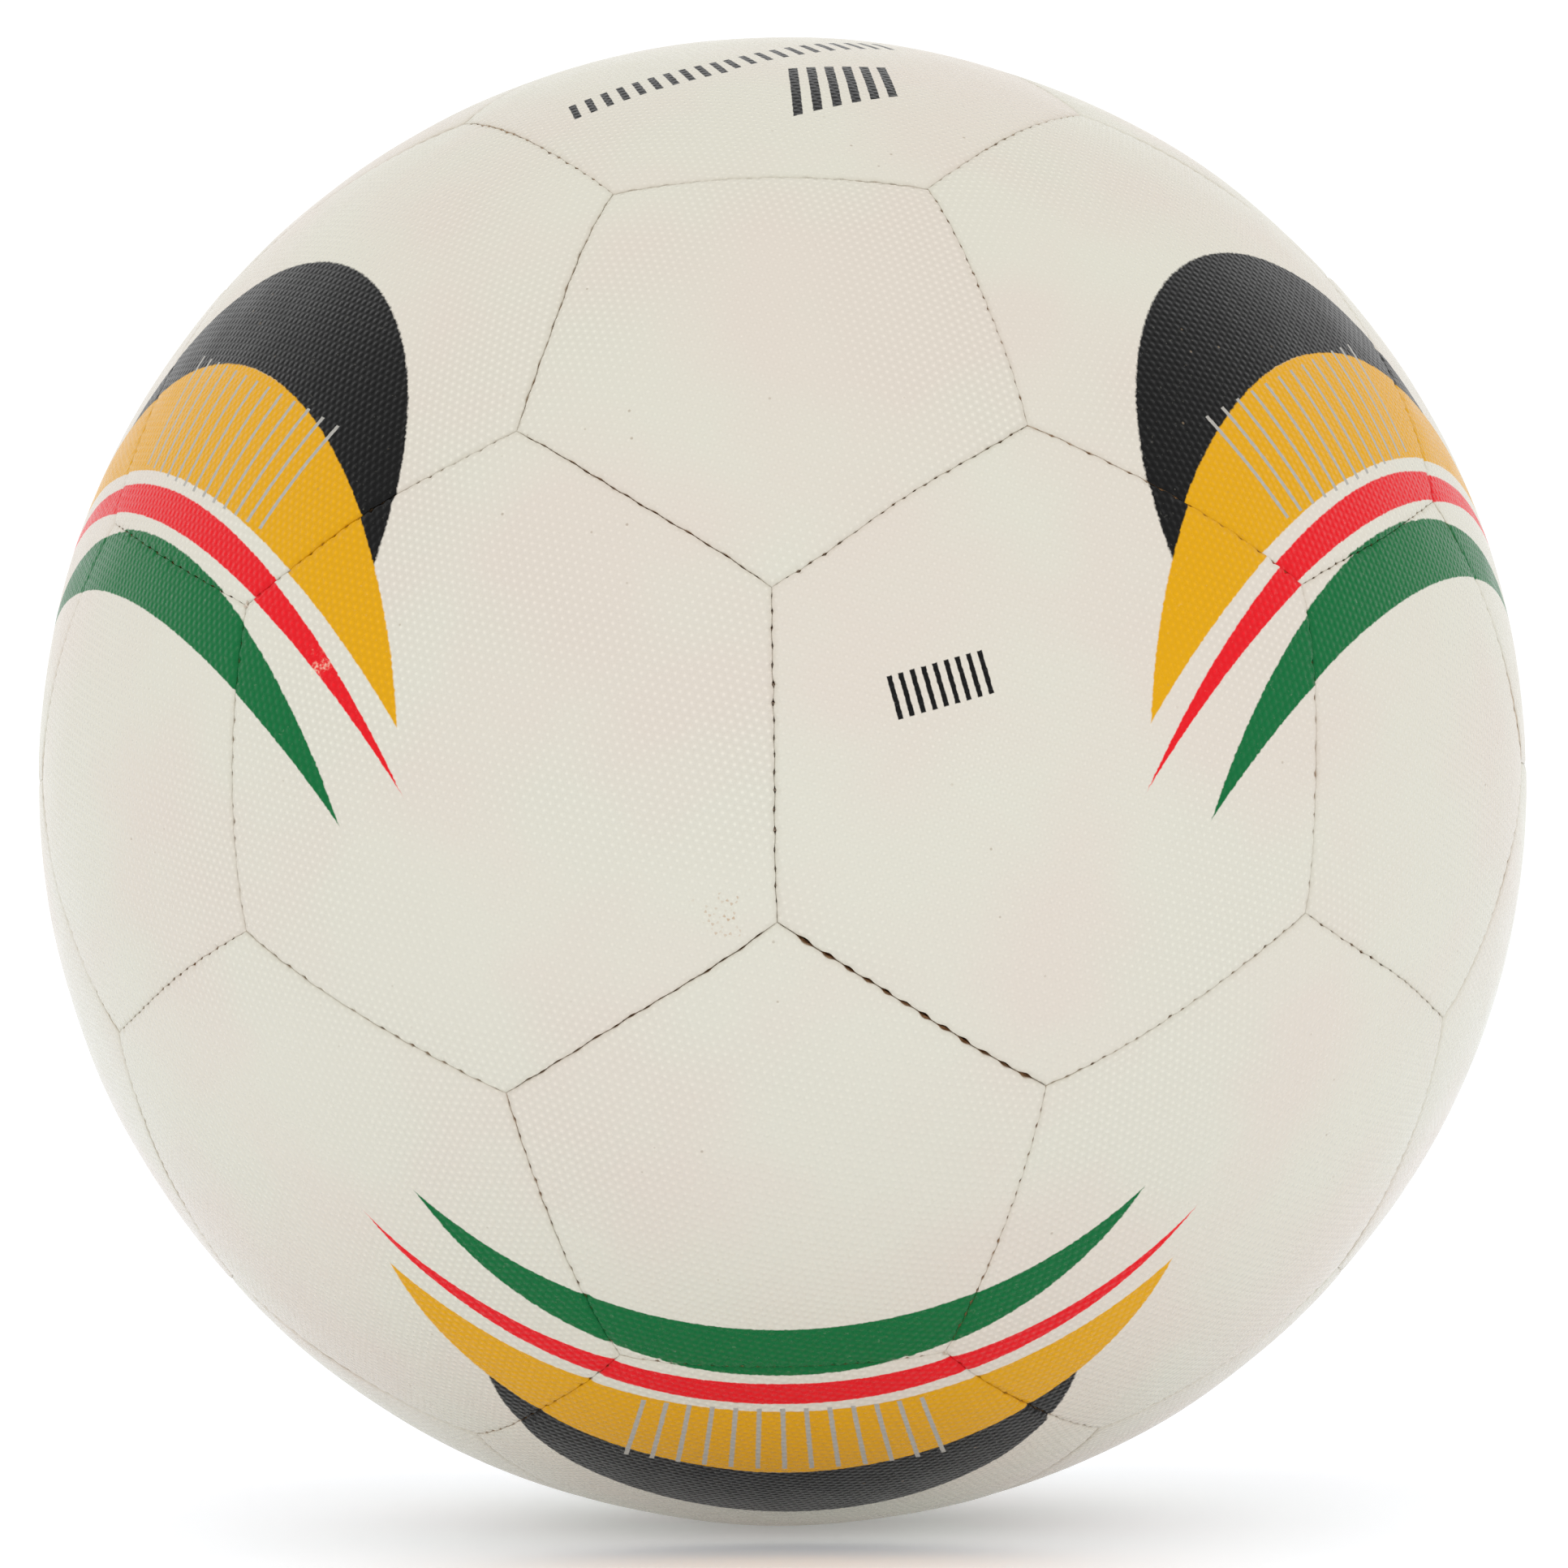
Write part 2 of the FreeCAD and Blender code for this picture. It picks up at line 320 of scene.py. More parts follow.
def fill(rim, inner, hole_rim):
    """Triangles between the rim, the hole's rim and the points between them."""
    points = np.concatenate([rim, hole_rim, inner])
    n, h = len(rim), len(hole_rim)
    edges = [(i, (i + 1) % n) for i in range(n)]
    edges += [(n + i, n + (i + 1) % h) for i in range(h)]
    made = delaunay_2d_cdt([Vector(p) for p in points], edges, [list(range(n))], 1, 1e-7)
    source = [o[0] for o in made[3]]
    triangles = np.array([[source[i] for i in f] for f in made[2]])
    if h:
        middle = points[triangles].mean(axis=1)
        triangles = triangles[np.linalg.norm(middle, axis=1) > np.linalg.norm(hole_rim[0]) * 0.98]
    return triangles


def ring_quads(first, count, rings):
    """Quads between rings of points that follow one another, each with this many points."""
    quads = []
    for k in range(rings - 1):
        a = first + k * count + np.arange(count)
        b = first + k * count + (np.arange(count) + 1) % count
        quads.append(np.stack([a, b, b + count, a + count], axis=1))
    return np.concatenate(quads)


# A layer of a cover's points holds their places on a plane, their places on the sheet, their depths
# and how far each is moved to the side.

def flat_layer(points, down):
    return points, points, np.full(len(points), down), np.zeros((len(points), 3))


def edge_layers(edge, rim, per_mm, inradius):
    """Rings of points from a cover's face over the shoulder, down into the seam and round to the back."""
    dimple = CORNER_DIMPLE * np.exp(-(edge["end"] / DIMPLE_REACH) ** 2)
    layers = []
    for k, (t, down) in enumerate(steps()):
        fade = max(0.0, 1 - t / BEND_REACH) ** 1.5
        wall = max(0.0, down - SHOULDER_DEPTH) if t == 0.0 else 0.0
        at_back = k > len(SHOULDER_STEPS) + len(WALL_STEPS)
        scale = 1.0 if at_back else edge["tight"]
        open_here = np.exp(-max(0.0, wall - OPEN_DEPTH) * 2.0)
        aside = fade * (edge["wander"] + edge["gap"] * open_here)
        layers.append((rim * (1 - t * per_mm / inradius),
                       rim * (1 - (t - wall) * per_mm / inradius),
                       down * scale + fade * (edge["dent"] + dimple),
                       aside[:, None] * edge["side"]))
    return layers


def hole_edge(start):
    """The valve hole's rounded edge and wall, as rings from the face to the back."""
    angle = np.arange(HOLE_SIDES) * 2 * pi / HOLE_SIDES
    circle = np.stack([np.cos(angle), np.sin(angle)], axis=1)
    flat = 1 / MIDDLE_RADIUS
    rings = [(circle * (VALVE_HOLE + out) * flat, down)
             for out, down in ((0.55, 0.0), (0.3, 0.05), (0.1, 0.17), (0.0, 0.4), (0.0, COVER))]
    return rings, ring_quads(start, HOLE_SIDES, len(rings))


def cover_mesh(face, seams, index, has_valve):
    """Points, sheet places and faces of one cover, which is closed at the back."""
    edge = outline(face, seams)
    rim = to_plane(edge["dir"], face)
    inradius = np.linalg.norm(rim, axis=1).min()
    per_mm = (1 + inradius ** 2) / SEAM_RADIUS
    n = len(rim)
    layers = edge_layers(edge, rim, per_mm, inradius)
    quads = ring_quads(0, n, len(layers))[:, [0, 3, 2, 1]]
    hole_start = len(layers) * n
    hole_rings, hole_faces = hole_edge(hole_start) if has_valve else ([], [])
    hole_rim = hole_rings[0][0] if has_valve else np.zeros((0, 2))
    h = len(hole_rim)
    layers += [flat_layer(circle, down) for circle, down in hole_rings]
    inner_start = hole_start + len(hole_rings) * h
    inner = lattice_points(rim, inradius, per_mm, VALVE_HOLE * per_mm if has_valve else 0)
    triangles = fill(layers[0][0], inner, hole_rim)
    layers += [flat_layer(inner, 0.0), flat_layer(inner, COVER)]

    def numbered(rim_at, hole_at, inner_at):
        table = np.concatenate([rim_at + np.arange(n), hole_at + np.arange(h),
                                inner_at + np.arange(len(inner))])
        return table[triangles]

    front = numbered(0, hole_start, inner_start)
    back = numbered(hole_start - n, inner_start - h, inner_start + len(inner))[:, ::-1]
    plane, places, depth, aside = (np.concatenate(part) for part in zip(*layers))
    directions = from_plane(plane, face)
    radius = surface_radius(directions, face) - depth + unevenness(plane, index)
    directions = unit(directions + aside / SEAM_RADIUS)
    return {"points": directions * radius[:, None], "places": places, "quads": quads,
            "triangles": np.concatenate([front, back]), "hole": hole_faces}


def make_mesh(name, points, faces):
    mesh = bpy.data.meshes.new(name)
    mesh.from_pydata([tuple(p) for p in points * MM], [], [tuple(int(i) for i in f) for f in faces])
    mesh.shade_smooth()
    obj = bpy.data.objects.new(name, mesh)
    bpy.context.scene.collection.objects.link(obj)
    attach(obj, "root")
    return obj


def store(mesh, name, values):
    layer = mesh.attributes.new(name, "FLOAT_VECTOR", "POINT")
    layer.data.foreach_set("vector", np.asarray(values, dtype=np.float32).ravel())


# ---------------------------------------------------------------- which print goes where

OUT = unit(np.array([0, -2 * GOLDEN, -2 - GOLDEN]))
EAST = np.array([1.0, 0.0, 0.0])
NORTH = np.cross(OUT, EAST)
THREEFOLD = unit(np.array([0, -GOLDEN, 1 + 2 * GOLDEN]))
TWOFOLD = [np.array([1.0, 0, 0]), np.array([0.5, GOLDEN / 2, 0.5 / GOLDEN]),
           np.array([-0.5, GOLDEN / 2, 0.5 / GOLDEN])]
PRINT_PANELS = {
    "pent_motif": (0, -GOLDEN, -1),
    "hex_motif": (0, -GOLDEN, -1 - 2 * GOLDEN),
    "hex_left": (-1, -1, -1),
    "hex_right": (1, -1, -1),
    "pent_tail": (-1, 0, -GOLDEN)}
SCRAPE = (-0.55, -0.83, 0.12)            # directions of the two marks of wear
STAIN = (-0.06, -0.98, -0.19)
MARKED_PANEL = unit(np.array([GOLDEN, -1 - 2 * GOLDEN, 0]))


def turned(axis, degrees):
    return np.array(Matrix.Rotation(radians(degrees), 3, Vector(axis)))


COPIES = [turned(THREEFOLD, a) for a in (0, 120, 240)] + [turned(axis, 180) for axis in TWOFOLD]


def print_of(face):
    """The print's name and its own frame on this panel."""
    for turning in COPIES:
        for name, axis in PRINT_PANELS.items():
            if turning @ unit(np.array(axis)) @ face["axis"] > 0.999:
                marked = MARKED_PANEL @ face["axis"] > 0.999
                return "hex_marked" if marked else name, turning @ np.stack([EAST, NORTH, OUT], axis=1)
    return "hex_cap", np.stack([EAST, np.cross(face["axis"], EAST), face["axis"]], axis=1)


def print_places(face, places, own_frame, index):
    """Where each point is on the print, in millimetres, set a little askew as printed sheets are."""
    rng = np.random.default_rng([SEED, 4, index])
    askew = turned(face["axis"], rng.normal(0, 0.2)) @ turned(face["right"], rng.normal(0, 0.1))
    return from_plane(places, face) @ askew.T @ own_frame * MIDDLE_RADIUS


def sheet_places(places):
    """Millimetres along the sheet from the panel's middle."""
    length = np.linalg.norm(places, axis=1, keepdims=True)
    return places / np.maximum(length, 1e-9) * np.arctan(length) * MIDDLE_RADIUS


def seam_distance(face, seams, places):
    """Millimetres from each point to the nearest seam, less than nothing on the edge's own walls."""
    directions = from_plane(places, face)
    nearest = np.full(len(places), 99.0)
    corners = face["corners"]
    for a, b in zip(corners, corners[1:] + corners[:1]):
        side = seams[seam_key(a, b)]["side"]
        side = side if side @ face["axis"] > 0 else -side
        nearest = np.minimum(nearest, directions @ side * SEAM_RADIUS)
    return nearest


def build_covers(panels, seams):
    covers = []
    nodes = [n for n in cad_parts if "_panel_" in n]
    middles = {n: unit(np.array(sum(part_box(n), Vector()))) for n in nodes}
    for index, face in enumerate(panels):
        node = max(nodes, key=lambda n: middles[n] @ face["axis"])
        has_valve = face["axis"] @ unit(np.array([-1, 1 + GOLDEN, 0])) > 0.999
        made = cover_mesh(face, seams, index, has_valve)
        faces = list(made["quads"]) + list(made["triangles"]) + list(made["hole"])
        obj = make_mesh("cover_" + node, made["points"], faces)
        name, own_frame = print_of(face)
        store(obj.data, "print", print_places(face, made["places"], own_frame, index))
        sheet = np.zeros((len(made["points"]), 3))
        sheet[:, :2] = sheet_places(made["places"])
        sheet[:, 2] = seam_distance(face, seams, made["places"])
        store(obj.data, "sheet", sheet)
        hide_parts(node)
        covers.append((obj, name))
    return covers


# ---------------------------------------------------------------- thread

def tube(path, outward, radius, sides=6, taper=False):
    """Points and quads of a round tube along a path."""
    along = unit(np.gradient(path, axis=0))
    across = unit(np.cross(along, outward))
    lift = np.cross(across, along)
    size = np.full(len(path), radius)
    if taper:
        size = radius * np.sqrt(np.clip(1 - np.linspace(-1, 1, len(path)) ** 8, 0.02, 1))
    angle = np.arange(sides) * 2 * pi / sides
    ring = np.cos(angle)[None, :, None] * across[:, None] + np.sin(angle)[None, :, None] * lift[:, None]
    points = (path[:, None] + ring * size[:, None, None]).reshape(-1, 3)
    ends = [tuple(range(sides))[::-1], tuple(range(len(points) - sides, len(points)))]
    return points, ring_quads(0, sides, len(path)), ends


def strand(seam, sign):
    """One of a seam's two strands: it crosses the seam at every stitch."""
    turns = np.linspace(0.12, seam["stitches"] - 0.12, seam["stitches"] * 8)
    s = np.interp(turns, seam["turns"], seam["s"])
    swing = np.tanh(2.2 * np.cos(pi * turns)) * THREAD_SWING * sign
    sideways = swing + np.interp(s, seam["s"], seam["wander"])
    drop = SHOULDER_DEPTH + THREAD_DROP + 0.13 * sign * np.sin(pi * turns)
    outward = line_between(seam, s)
    direction = unit(outward + seam["side"] * sideways[:, None] / SEAM_RADIUS)
    return direction * (SEAM_RADIUS - drop)[:, None], outward


def collect(parts):
    """Joins tubes into one list of points and one of faces."""
    points, faces, start = [], [], 0
    for p, quads, ends in parts:
        points.append(p)
        faces += [tuple(q + start) for q in quads]
        faces += [tuple(i + start for i in end) for end in ends]
        start += len(p)
    return np.concatenate(points), faces


def knot(key, seed):
    """A tied-off end of thread pressed into a corner: a few tight loops."""
    rng = np.random.default_rng([SEED, 6, seed])
    outward = sewn_corner(key)
    right = unit(np.cross(outward, [0.3, 0.2, 0.9]))
    up = np.cross(outward, right)
    parts = []
    for _ in range(KNOT_LOOPS):
        angle = np.linspace(0, rng.uniform(4, 8), 34)
        size = rng.uniform(0.25, 0.55)
        lean = rng.uniform(0, 2 * pi)
        x = size * np.cos(angle + lean) + 0.15 * angle * cos(lean) * 0.4
        y = size * 0.6 * np.sin(angle + lean) + 0.15 * angle * sin(lean) * 0.4
        z = SEAM_RADIUS - 0.4 + 0.3 * np.sin(angle * 0.7 + lean)
        path = outward * z[:, None] + right * x[:, None] + up * y[:, None]
        parts.append(tube(path, np.tile(outward, (len(path), 1)), KNOT_THREAD_RADIUS, taper=True))
    return parts


def build_threads(seams):
    """Two strands in each seam, gathered as the CAD model has them."""
    for name, wanted in (("hex_seam_threads", 2), ("pent_seam_threads", 1)):
        parts = []
        for key, seam in seams.items():
            tips = {key[0][0], key[1][0]}
            if len(tips) != wanted:
                continue
            for sign in (1, -1):
                path, outward = strand(seam, sign)
                parts.append(tube(path, outward, THREAD_RADIUS))
        if wanted == 1:
            for seed, key in enumerate(KNOTS):
                parts += knot(key, seed)
        points, faces = collect(parts)
        obj = make_mesh("sewn_" + name, points, faces)
        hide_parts(name)
        dress(obj, thread_material())


# ---------------------------------------------------------------- shader building

class Net:
    """A material's nodes, added one at a time; each call gives the new node's output."""

    def __init__(self, name):
        self.material = bpy.data.materials.new(name)
        self.material.use_nodes = True
        self.tree = self.material.node_tree
        self.tree.nodes.clear()

    def add(self, kind, inputs=(), output=0, **settings):
        node = self.tree.nodes.new(kind)
        for key, value in settings.items():
            setattr(node, key, value)
        pairs = inputs.items() if isinstance(inputs, dict) else enumerate(inputs)
        for key, value in pairs:
            if isinstance(value, bpy.types.NodeSocket):
                self.tree.links.new(value, node.inputs[key])
            else:
                node.inputs[key].default_value = value
        return node.outputs[output]

    def math(self, operation, *values, clamp=False):
        return self.add("ShaderNodeMath", values, operation=operation, use_clamp=clamp)

    def vector(self, operation, *values, output=0):
        return self.add("ShaderNodeVectorMath", values, output, operation=operation)

    def attribute(self, name):
        return self.add("ShaderNodeAttribute", output="Vector", attribute_name=name)

    def split(self, vector):
        node = self.tree.nodes.new("ShaderNodeSeparateXYZ")
        self.tree.links.new(vector, node.inputs[0])
        return node.outputs

    def noise(self, vector, scale, detail=2.0, roughness=0.5, output="Fac"):
        return self.add("ShaderNodeTexNoise", {"Vector": vector, "Scale": scale, "Detail": detail,
                                               "Roughness": roughness}, output)

    def ramp(self, value, low, high, to_low=0.0, to_high=1.0):
        return self.add("ShaderNodeMapRange", {"Value": value, "From Min": low, "From Max": high,
                                               "To Min": to_low, "To Max": to_high})

    def mix(self, factor, first, second, blend="MIX"):
        node = self.tree.nodes.new("ShaderNodeMix")
        node.data_type = "RGBA"
        node.blend_type = blend
        for key, value in ((0, factor), (6, first), (7, second)):
            if isinstance(value, bpy.types.NodeSocket):
                self.tree.links.new(value, node.inputs[key])
            elif key:
                node.inputs[key].default_value = (*value, 1.0)
            else:
                node.inputs[key].default_value = value
        return node.outputs[2]

    def bump(self, height, distance, strength=1.0, normal=None):
        inputs = {"Height": height, "Distance": distance, "Strength": strength}
        if normal is not None:
            inputs["Normal"] = normal
        return self.add("ShaderNodeBump", inputs)

    def finish(self, **sockets):
        """Ends with one Principled shader."""
        names = {"colour": "Base Color", "roughness": "Roughness", "normal": "Normal",
                 "specular": "Specular IOR Level", "sheen": "Sheen Weight",
                 "glow": "Emission Color", "glow_strength": "Emission Strength"}
        inputs = {names[k]: ((*v, 1.0) if isinstance(v, tuple) else v) for k, v in sockets.items()}
        shader = self.add("ShaderNodeBsdfPrincipled", inputs)
        end = self.tree.nodes.new("ShaderNodeOutputMaterial")
        self.tree.links.new(shader, end.inputs["Surface"])
        return self.material


def dress(obj, material):
    obj.data.materials.clear()
    obj.data.materials.append(material)


# ---------------------------------------------------------------- print shapes

# Points of the print are (east, north) in degrees from the middle of its main seam. Widths are in degrees.

def spot(point):
    east, north = radians(point[0]), radians(point[1])
    return np.array([sin(east) * cos(north), sin(north), cos(east) * cos(north)])


def cut_plane(points):
    """The plane through two or three points and, for two, the ball's centre."""
    p = [spot(q) for q in points]
    if len(p) == 2:
        return unit(np.cross(p[0], p[1])), 0.0
    normal = unit(np.cross(p[1] - p[0], p[2] - p[1]))
    return normal, float(normal @ p[0])


def less(net, value, amount):
    return value if amount == 0 else net.math("SUBTRACT", value, float(amount))


def left_of(net, place, points):
    """Millimetres to the left of the line through the points."""
    normal, level = cut_plane(points)
    along = net.vector("DOT_PRODUCT", place, tuple(normal), output="Value")
    return less(net, along, level * MIDDLE_RADIUS)


def lowest(net, values):
    result = values[0]
    for value in values[1:]:
        result = net.math("MINIMUM", result, value)
    return result


def area(net, place, *edges):
    """Inside a shape whose edges are given anticlockwise."""
    return lowest(net, [left_of(net, place, edge) for edge in edges])


def stripes(net, place, count, width, first, last):
    """Evenly spread straight lines from the first to the last, both given start to end."""
    one = left_of(net, place, first)
    other = left_of(net, place, last)
    apart = net.math("SUBTRACT", one, other)
    share = net.math("DIVIDE", one, apart)
    turns = net.math("MULTIPLY", share, float(count - 1))
    whole = net.math("MINIMUM", net.math("MAXIMUM", net.math("ROUND", turns), 0.0), float(count - 1))
    off = net.math("ABSOLUTE", net.math("SUBTRACT", turns, whole))
    pitch = net.math("ABSOLUTE", net.math("MULTIPLY", apart, 1 / (count - 1)))
    away = net.math("MULTIPLY", off, pitch)
    inside = net.math("SUBTRACT", width * DEGREE / 2, away)
    start = left_of(net, place, (last[0], first[0]))
    end = left_of(net, place, (first[1], last[1]))
    turning = np.cross(spot(first[0]) - spot(last[0]), spot(first[1]) - spot(first[0])) @ spot(first[0])
    if turning < 0:
        start = net.math("MULTIPLY", start, -1.0)
        end = net.math("MULTIPLY", end, -1.0)
    return lowest(net, [inside, start, end])


def shape(*edges):
    return lambda net, place: area(net, place, *edges)


def lines(count, width, first, last):
    return lambda net, place: stripes(net, place, count, width, first, last)


def crescent(reach, ends, low, high):
    """Between two arcs that meet this far to either side."""
    return shape([(-reach, ends), (0, low), (reach, ends)], [(reach, ends), (0, high), (-reach, ends)])


# A plain pattern: four nested crescents and a row of hatching, the same in all six places.
BANDS = [
    (BLACK, crescent(22, -2, -25, -15)),
    (YELLOW, crescent(29, 3, -15, -5.5)),
    (RED, crescent(31, 7, -4.5, -2)),
    (GREEN, crescent(27, 11, -1, 4)),
    (GREY, lines(13, 0.34, ((-12, -14), (-10, -5)), ((12, -14), (10, -5))))]
PRINTS = {name: BANDS for name in PRINT_PANELS}
PRINTS["pent_tail"] = []
PRINTS["hex_cap"] = [
    (BLACK, lines(10, 0.55, ((-14.5, -10), (-15, -7)), ((-3.5, -5.5), (-4.5, -2.5)))),
    (BLACK, lines(11, 0.55, ((-2.5, -4.5), (-3.5, -2)), ((9, 4.5), (7.5, 7)))),
    (BLACK, lines(6, 0.7, ((1.5, -5), (2, -14)), ((8, -3), (9, -9.5))))]
PRINTS["hex_marked"] = BANDS + [
    (BLACK, lines(9, 0.36, ((45, -7.5), (45.5, -4.5)), ((38.5, -6.5), (39, -3.5))))]


# ---------------------------------------------------------------- materials

def grain(net, sheet):
    """The cover's raised grain: low domes in a triangular lattice, from 0 to 1."""
    turn = 4 * pi / sqrt(3) / LATTICE_PITCH
    total = None
    for angle in (15, 75, 135):
        way = (cos(radians(angle)) * turn, sin(radians(angle)) * turn, 0.0)
        wave = net.math("COSINE", net.vector("DOT_PRODUCT", sheet, way, output="Value"))
        total = wave if total is None else net.math("ADD", total, wave)
    return net.ramp(total, -1.2, 2.4)


def near(net, direction, reach):
    """One at a place on the ball, falling to nothing this many millimetres away, with a ragged edge."""
    here = net.add("ShaderNodeTexCoord", output="Object")
    middle = tuple(unit(np.array(direction)) * MIDDLE_RADIUS * MM)
    away = net.vector("DISTANCE", here, middle, output="Value")
    ragged = net.math("ADD", away, net.math("MULTIPLY", net.noise(here, 700.0, detail=4.0), 3 * reach * MM))
    return net.ramp(ragged, 1.6 * reach * MM, 2.2 * reach * MM, 1.0, 0.0)


def worn(net, colour, domes):
    """A pale scrape on one panel and a brown stain between the grain of another."""
    flecks = net.ramp(net.noise(net.attribute("print"), 2.2, detail=4.0), 0.42, 0.6, 0.03, 0.6)
    colour = net.mix(net.math("MULTIPLY", near(net, SCRAPE, 2.4), flecks), colour, (0.85, 0.70, 0.52))
    low = net.math("MULTIPLY", net.ramp(domes, 0.0, 0.05, 0.6, 0.0), near(net, STAIN, 4.0))
    return net.mix(low, colour, (0.40, 0.22, 0.10))


def printed_colour(net, place, layers):
    """The off-white sheet and the print on it, with slightly ragged edges and a little wear."""
    jitter = net.noise(place, 1.6, detail=1.0, output="Color")
    jitter = net.vector("MULTIPLY", net.vector("SUBTRACT", jitter, (0.5, 0.5, 0.5)), (0.2, 0.2, 0.2))
    printed = net.vector("ADD", place, jitter)
    mottle = net.ramp(net.noise(place, 0.025, detail=3.0), 0.4, 0.6)
    colour = net.mix(mottle, WHITE, WARM_WHITE)
    for tint, field in layers:
        mask = net.math("MULTIPLY_ADD", field(net, printed), EDGE_SHARPNESS, 0.5, clamp=True)
        colour = net.mix(mask, colour, tint)
    ink_wear = net.ramp(net.noise(place, 1.6, detail=3.0), 0.66, 0.8, 0.0, 0.12)
    return net.mix(ink_wear, colour, WHITE)


def painted_grain_light(net, place, domes, colour):
    """Painted shade between the domes and painted highlights on their tops, more in some places than in
    others.
    """
    shown = net.ramp(net.noise(place, 0.018, detail=2.0), 0.4, 0.6, 0.25, 1.0)
    # painted shade: darkens the colour in the hollows between the domes
    between = net.math("MULTIPLY", net.ramp(domes, 0.0, 0.4, 0.09, 0.0), shown)
    colour = net.mix(between, colour, (0.30, 0.27, 0.22), "MULTIPLY")
    # painted highlight: lightens the colour on the dome tops, in place of glints
    tops = net.math("MULTIPLY", net.ramp(domes, 0.76, 0.95, 0.0, 0.24), shown)
    return net.mix(tops, colour, (1.3, 1.3, 1.3), "MULTIPLY")


def soiled(net, place, edge, colour):
    """Dirt beside the seams, a few dark specks and the brown walls inside the seams."""
    dirt = net.math("MULTIPLY", net.ramp(edge, 0.0, 0.8, 1.0, 0.0), net.noise(place, 0.35, detail=2.0))
    colour = net.mix(net.math("MULTIPLY", dirt, 0.25), colour, (0.50, 0.42, 0.30), "MULTIPLY")
    cells = net.add("ShaderNodeTexVoronoi", {"Vector": place, "Scale": 0.24}, "Distance")
    speck = net.math("MULTIPLY", net.ramp(cells, 0.035, 0.06, 1.0, 0.0),
                     net.ramp(net.noise(place, 0.03, detail=2.0), 0.5, 0.62))
    colour = net.mix(net.math("MULTIPLY", speck, 0.5), colour, (0.26, 0.19, 0.12))
    deep = net.ramp(edge, -0.7, 0.03, 0.93, 0.0)
    return net.mix(deep, colour, (0.60, 0.36, 0.18))


def cover_material(name, layers):
    net = Net("printed_" + name)
    place = net.attribute("print")
    sheet = net.attribute("sheet")
    domes = grain(net, net.vector("MULTIPLY", sheet, (1.0, 1.0, 0.0)))
    colour = printed_colour(net, place, layers)
    # painted shade and highlights on the grain's domes
    colour = painted_grain_light(net, place, domes, colour)
    colour = soiled(net, place, net.split(sheet)[2], colour)
    colour = worn(net, colour, domes)
    scuff = net.noise(place, 0.16, detail=5.0, roughness=0.7)
    rough = net.math("ADD", net.ramp(scuff, 0.35, 0.75, 0.21, 0.34),
                     net.ramp(net.noise(place, 2.6, detail=2.0), 0.3, 0.7, -0.03, 0.03))
    normal = net.bump(domes, 0.0001)
    normal = net.bump(net.noise(place, 0.09, detail=3.0), 0.0006, 0.35, normal)
    return net.finish(colour=colour, roughness=rough, normal=normal, specular=0.13)


def thread_material():
    net = Net("waxed_thread")
    place = net.add("ShaderNodeTexCoord", output="Object")
    twist = net.add("ShaderNodeTexWave", {"Vector": place, "Scale": 900.0, "Distortion": 3.0, "Detail": 2.0},
                    "Fac", bands_direction="DIAGONAL")
    fuzz = net.noise(place, 2500.0, detail=3.0)
    colour = net.mix(twist, (0.40, 0.29, 0.19), (0.66, 0.56, 0.44))
    colour = net.mix(net.math("MULTIPLY", fuzz, 0.4), colour, (0.75, 0.72, 0.66))
    normal = net.bump(twist, 0.0001)
    return net.finish(colour=colour, roughness=net.ramp(fuzz, 0.3, 0.7, 0.55, 0.8), normal=normal, sheen=0.3)


def rubber_material(name, dark, light, scale):
    """Moulded rubber: flow marks, a fine matt skin and dust."""
    net = Net(name)
    place = net.add("ShaderNodeTexCoord", output="Object")
    marks = net.noise(place, scale, detail=6.0, roughness=0.6)
    skin = net.noise(place, scale * 14, detail=2.0)
    colour = net.mix(marks, dark, light)
    colour = net.mix(net.ramp(skin, 0.62, 0.8, 0.0, 0.25), colour, (0.35, 0.33, 0.30))
    rough = net.ramp(marks, 0.3, 0.7, 0.42, 0.68)
    normal = net.bump(skin, 0.00004)
    normal = net.bump(marks, 0.0003, 0.5, normal)
    return net.finish(colour=colour, roughness=rough, normal=normal)


def cloth_material(name, dark, light, pitch):
    """Plain woven cloth: two sets of threads over one another."""
    net = Net(name)
    place = net.add("ShaderNodeTexCoord", output="Object")
    x, y, z = net.split(place)
    turn = 2 * pi / pitch
    warp = net.math("SINE", net.math("MULTIPLY", net.math("ADD", x, z), turn))
    weft = net.math("SINE", net.math("MULTIPLY", net.math("SUBTRACT", y, z), turn))
    weave = net.ramp(net.math("MULTIPLY", warp, weft), -1.0, 1.0)
    slub = net.noise(place, 300.0, detail=4.0)
    colour = net.mix(net.math("MULTIPLY", weave, slub), dark, light)
    rough = net.ramp(slub, 0.3, 0.7, 0.75, 0.92)
    return net.finish(colour=colour, roughness=rough, normal=net.bump(weave, 0.00015), sheen=0.2)


def foam_material():
    """Closed-cell foam: small round cells of uneven size."""
    net = Net("foam_sheet")
    place = net.add("ShaderNodeTexCoord", output="Object")
    cells = net.add("ShaderNodeTexVoronoi", {"Vector": place, "Scale": 1800.0}, "Distance")
    cloud = net.noise(place, 60.0, detail=3.0)
    colour = net.mix(cells, (0.80, 0.79, 0.76), (0.66, 0.65, 0.62))
    colour = net.mix(net.math("MULTIPLY", cloud, 0.3), colour, (0.72, 0.68, 0.58))
    rough = net.ramp(cloud, 0.3, 0.7, 0.7, 0.9)
    return net.finish(colour=colour, roughness=rough, normal=net.bump(cells, 0.0002))


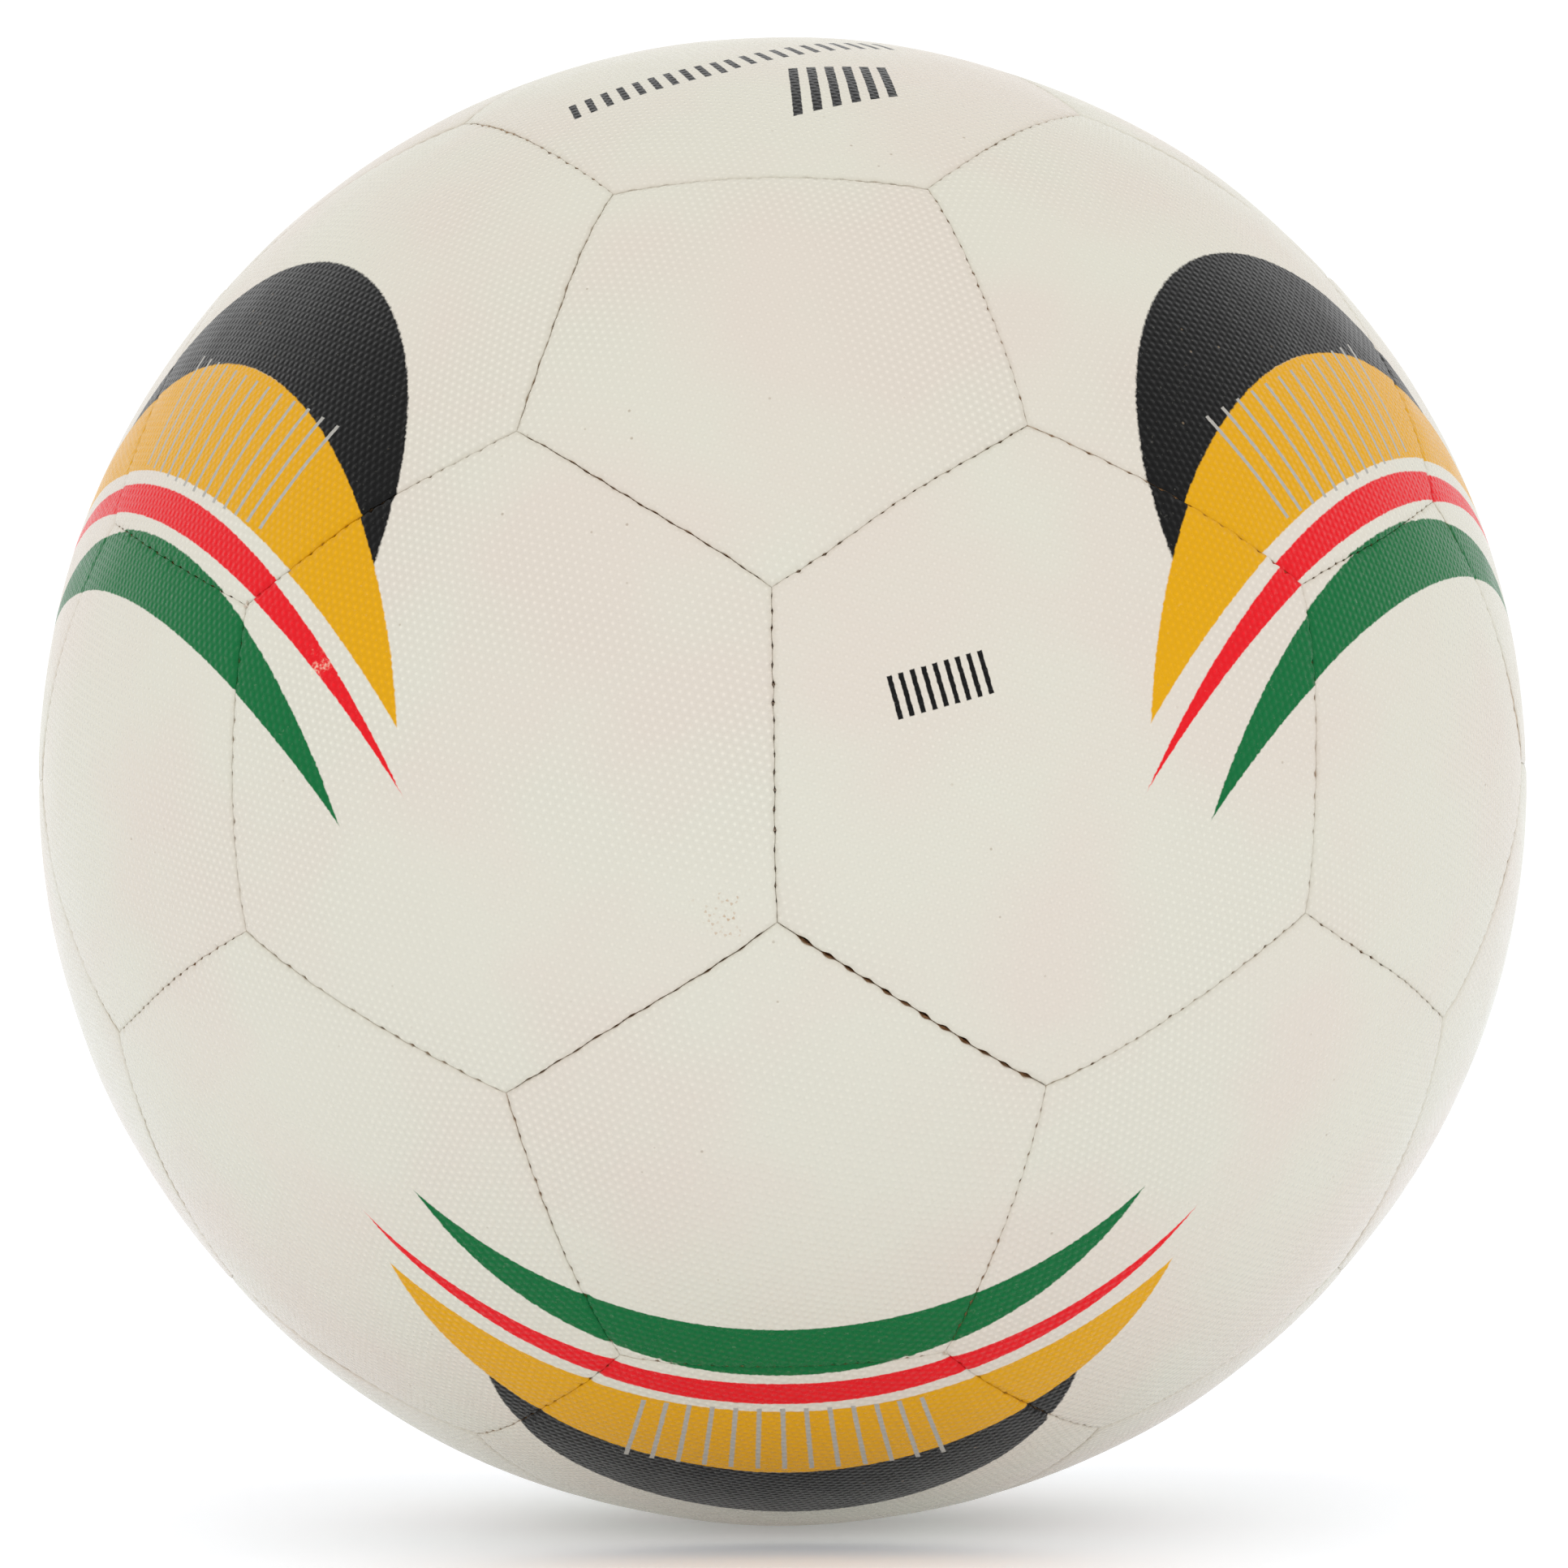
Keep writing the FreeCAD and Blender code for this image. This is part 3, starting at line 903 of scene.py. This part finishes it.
def dress_cad_nodes():
    cloth = cloth_material("lining_cloth", (0.40, 0.38, 0.34), (0.66, 0.63, 0.57), 0.0009)
    patch = cloth_material("patch_cloth", (0.34, 0.32, 0.29), (0.58, 0.56, 0.51), 0.0006)
    foam = foam_material()
    looks = {
        "hex_foam_pads": foam,
        "pent_foam_pads": foam,
        "hex_fabric_linings": cloth,
        "pent_fabric_linings": cloth,
        "bladder": rubber_material("butyl_rubber", (0.018, 0.018, 0.018), (0.05, 0.048, 0.046), 45.0),
        "valve_body": rubber_material("valve_rubber", (0.02, 0.02, 0.02), (0.06, 0.058, 0.055), 160.0),
        "valve_plug": rubber_material("plug_rubber", (0.20, 0.19, 0.18), (0.36, 0.35, 0.33), 220.0),
        "valve_backing_patch": patch}
    for name, material in looks.items():
        dress(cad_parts[name], material)


# ---------------------------------------------------------------- stage, light and camera

def floor_material():
    net = Net("white_sweep")
    place = net.add("ShaderNodeTexCoord", output="Object")
    grain_of = net.noise(place, 40.0, detail=3.0)
    colour = net.mix(grain_of, (0.90, 0.93, 0.98), (0.93, 0.95, 0.99))
    return net.finish(colour=colour, roughness=0.9, specular=0.0, glow=(1.0, 1.0, 1.0), glow_strength=0.18)


def build_stage():
    size, level = 30.0, cad_box[0].z - 0.0001
    mesh = bpy.data.meshes.new("floor")
    mesh.from_pydata([(x * size, y * size, level) for x, y in ((-1, -1), (1, -1), (1, 1), (-1, 1))],
                     [], [(0, 1, 2, 3)])
    floor = bpy.data.objects.new("floor", mesh)
    bpy.context.scene.collection.objects.link(floor)
    dress(floor, floor_material())


def light(name, where, size, power, tint=(1.0, 1.0, 1.0)):
    """A round soft light that looks at the ball."""
    data = bpy.data.lights.new(name, "AREA")
    data.shape = "DISK"
    data.size = size
    data.energy = power
    data.color = tint
    obj = bpy.data.objects.new(name, data)
    obj.location = where
    obj.rotation_euler = (-Vector(where)).to_track_quat("-Z", "Y").to_euler()
    bpy.context.scene.collection.objects.link(obj)


def build_light():
    world = bpy.data.worlds.new("studio")
    bpy.context.scene.world = world
    world.use_nodes = True
    sky = world.node_tree.nodes["Background"].inputs
    sky["Color"].default_value = (1, 1, 1, 1)
    sky["Strength"].default_value = 1.11
    light("overhead", (-0.1, -0.3, 1.6), 1.0, 0.7)
    light("key", (-0.9, -1.4, 0.8), 0.25, 0.5, (1.0, 0.95, 0.92))
    light("fill", (0.8, -1.5, -0.05), 0.2, 1.1)


def build_camera():
    """A long lens a little below the ball's middle, turned and tipped slightly."""
    distance, lens = 0.8305, 127.93
    about = Vector(tuple(radians(a) for a in (-1.937, -0.533, -0.674)))
    turning = Matrix.Rotation(about.length, 3, about.normalized()).inverted()
    axes = turning @ Matrix(((1, 0, 0), (0, 0, -1), (0, 1, 0)))
    data = bpy.data.cameras.new("camera")
    data.lens = lens
    data.sensor_width = 36.0
    data.shift_x = 0.0007
    data.shift_y = -0.0018
    data.clip_end = 200.0
    camera = bpy.data.objects.new("camera", data)
    camera.matrix_world = Matrix.Translation(turning @ Vector((0, -distance, 0))) @ axes.to_4x4()
    bpy.context.scene.collection.objects.link(camera)
    bpy.context.scene.camera = camera


# ---------------------------------------------------------------- build

def build():
    panels = all_panels()
    seams = {}
    for face in panels:
        corners = face["corners"]
        for a, b in zip(corners, corners[1:] + corners[:1]):
            key = seam_key(a, b)
            if key not in seams:
                seams[key] = make_seam(key)
    covers = build_covers(panels, seams)
    materials = {name: cover_material(name, layers) for name, layers in PRINTS.items()}
    for obj, name in covers:
        dress(obj, materials[name])
    build_threads(seams)
    dress_cad_nodes()
    build_stage()
    build_light()
    build_camera()


build()
bpy.context.scene.view_settings.view_transform = "Standard"
bpy.context.view_layer.update()
